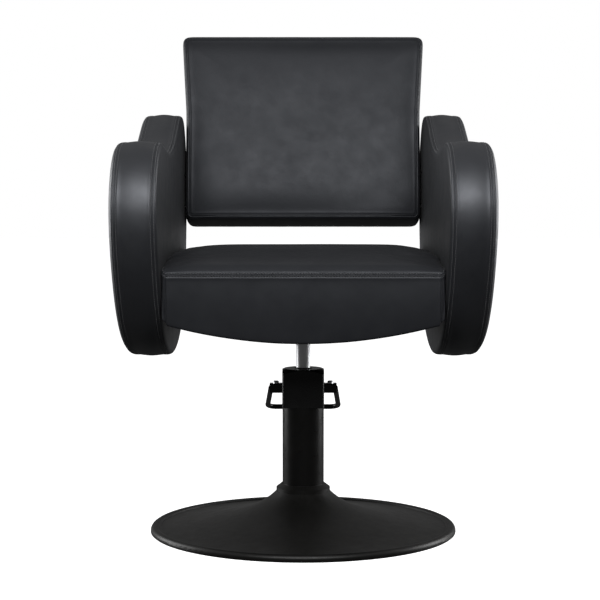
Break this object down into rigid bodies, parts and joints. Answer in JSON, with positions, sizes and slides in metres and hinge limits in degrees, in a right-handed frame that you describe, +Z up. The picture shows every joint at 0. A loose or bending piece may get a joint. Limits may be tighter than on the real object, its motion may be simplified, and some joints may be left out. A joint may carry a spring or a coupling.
{
  "type": "styling chair",
  "caption": "Salon styling chair: padded seat box between curved upholstered arms and a reclined back, on a hydraulic column with a round base and a foot pedal.",
  "frame": {"origin": "on the floor, on the column's axis", "axes": "+Z up, the sitter faces -Y, +X is on the sitter's left"},
  "size_m": [0.6764, 0.654, 0.9527],
  "materials": {
    "base_paint": "satin black powder coat",
    "column_paint": "satin black powder coat",
    "head_paint": "satin black powder coat",
    "pedal_paint": "satin black powder coat",
    "plate_paint": "black paint",
    "chrome_rod": "hard chrome, polished",
    "zinc_screw": "bright zinc",
    "ballast_iron": "black primer",
    "plain_steel": "turned steel",
    "floor_rubber": "moulded rubber",
    "seal_rubber": "moulded rubber",
    "bush_brass": "turned brass",
    "plywood": "birch plywood",
    "seat_leatherette": "black upholstery leatherette over foam, fine grain",
    "arm_leatherette": "black upholstery leatherette over foam, fine grain",
    "back_leatherette": "black upholstery leatherette over foam, fine grain",
    "underside_cloth": "black dust cloth over thin board"
  },
  "bodies": {
    "base": {"base_cover": "base_paint", "ballast_plate": "ballast_iron", "floor_ring": "floor_rubber", "base_bolts": "zinc_screw", "pump_flange": "plain_steel", "column_tube": "column_paint", "column_collar": "base_paint", "pressure_cylinder": "plain_steel", "pump_head": "head_paint", "guide_bush": "bush_brass", "wiper_seal": "seal_rubber", "shaft_bushes": "bush_brass", "pump_barrel": "plain_steel", "plunger_spring": "plain_steel"},
    "lift": {"piston_head": "plain_steel", "piston_seals": "seal_rubber"},
    "seat": {"arm_left_band": "arm_leatherette", "arm_left_bolts": "zinc_screw", "arm_left_frame": "plywood", "arm_left_inner_panel": "arm_leatherette", "arm_left_outer_panel": "arm_leatherette", "arm_right_band": "arm_leatherette", "arm_right_bolts": "zinc_screw", "arm_right_frame": "plywood", "arm_right_inner_panel": "arm_leatherette", "arm_right_outer_panel": "arm_leatherette", "back_battens": "plywood", "back_board": "plywood", "back_border": "back_leatherette", "back_cross_rails": "plywood", "back_cushion": "back_leatherette", "back_left_studs": "zinc_screw", "back_rear_panel": "back_leatherette", "back_right_studs": "zinc_screw", "mounting_bolts": "zinc_screw", "mounting_plate": "plate_paint", "piston_rod": "chrome_rod", "rod_retaining_ring": "plain_steel", "seat_board": "plywood", "seat_cushion": "seat_leatherette", "seat_front_panel": "seat_leatherette", "seat_front_rail": "plywood", "seat_rear_panel": "seat_leatherette", "seat_rear_rail": "plywood", "seat_side_panels": "seat_leatherette", "seat_side_rails": "plywood", "underseat_cover": "underside_cloth"},
    "pedal": {"lever_shaft": "plain_steel", "pedal_lugs": "pedal_paint", "pedal_bar": "pedal_paint", "lug_screws": "zinc_screw"},
    "plunger": {"pump_plunger": "plain_steel"}
  },
  "joints": [
    {"name": "lift", "type": "slide", "parent": "base", "child": "lift", "axis": [0, 0, 1], "range_m": [-0.05, 0.12]},
    {"name": "swivel", "type": "hinge", "parent": "lift", "child": "seat", "pos_m": [0, 0, 0.1], "axis": [0, 0, 1], "continuous": true},
    {"name": "pedal", "type": "hinge", "parent": "base", "child": "pedal", "pos_m": [0, 0.02415, 0.27], "axis": [-1, 0, 0], "range_deg": [0, 25], "stiffness_Nm_per_rad": 2.5, "springref_deg": -17.19},
    {"name": "plunger", "type": "slide", "parent": "base", "child": "plunger", "axis": [0, 0, -1], "range_m": [0, 0.0035], "deforming": ["plunger_spring"]}
  ],
  "couplings": [
    {"joint": "plunger", "follows": "pedal", "m_per_rad": 0.0072}
  ]
}
